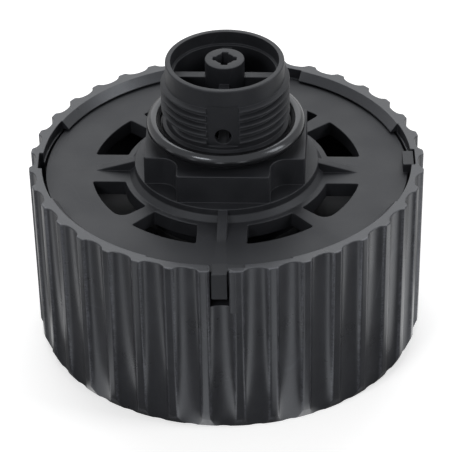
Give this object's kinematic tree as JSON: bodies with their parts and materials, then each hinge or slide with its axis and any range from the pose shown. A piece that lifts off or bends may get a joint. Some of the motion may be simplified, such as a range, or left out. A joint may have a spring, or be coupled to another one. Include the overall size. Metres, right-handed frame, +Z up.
{
  "type": "hydraulic tank breather filter",
  "caption": "Round fluted tank breather filter, standing upside down on its cap, with a slotted base plate, a spanner hub, a male threaded neck and a rubber sealing ring.",
  "frame": {"origin": "middle of the cap's closed face, which is the face it stands on", "axes": "+Z up along the neck, -Y towards the slot in the cap's rim and the slot in the thread, +X to the right of that side"},
  "size_m": [0.0816, 0.0816, 0.0642],
  "materials": {
    "cap_plastic": "fine satin moulded black",
    "base_plastic": "satin moulded black",
    "ring_rubber": "smooth and slightly glossy black",
    "foam_rubber": "dull black foam",
    "end_plate_plastic": "dull black",
    "tube_plastic": "dull black",
    "filter_paper": "dry cream paper"
  },
  "bodies": {
    "root": {"cap": "cap_plastic", "base": "base_plastic", "o_ring": "ring_rubber", "element_seal": "foam_rubber", "element_upper_plate": "end_plate_plastic", "element_lower_plate": "end_plate_plastic", "support_tube": "tube_plastic", "pleated_media": "filter_paper"}
  },
  "joints": []
}
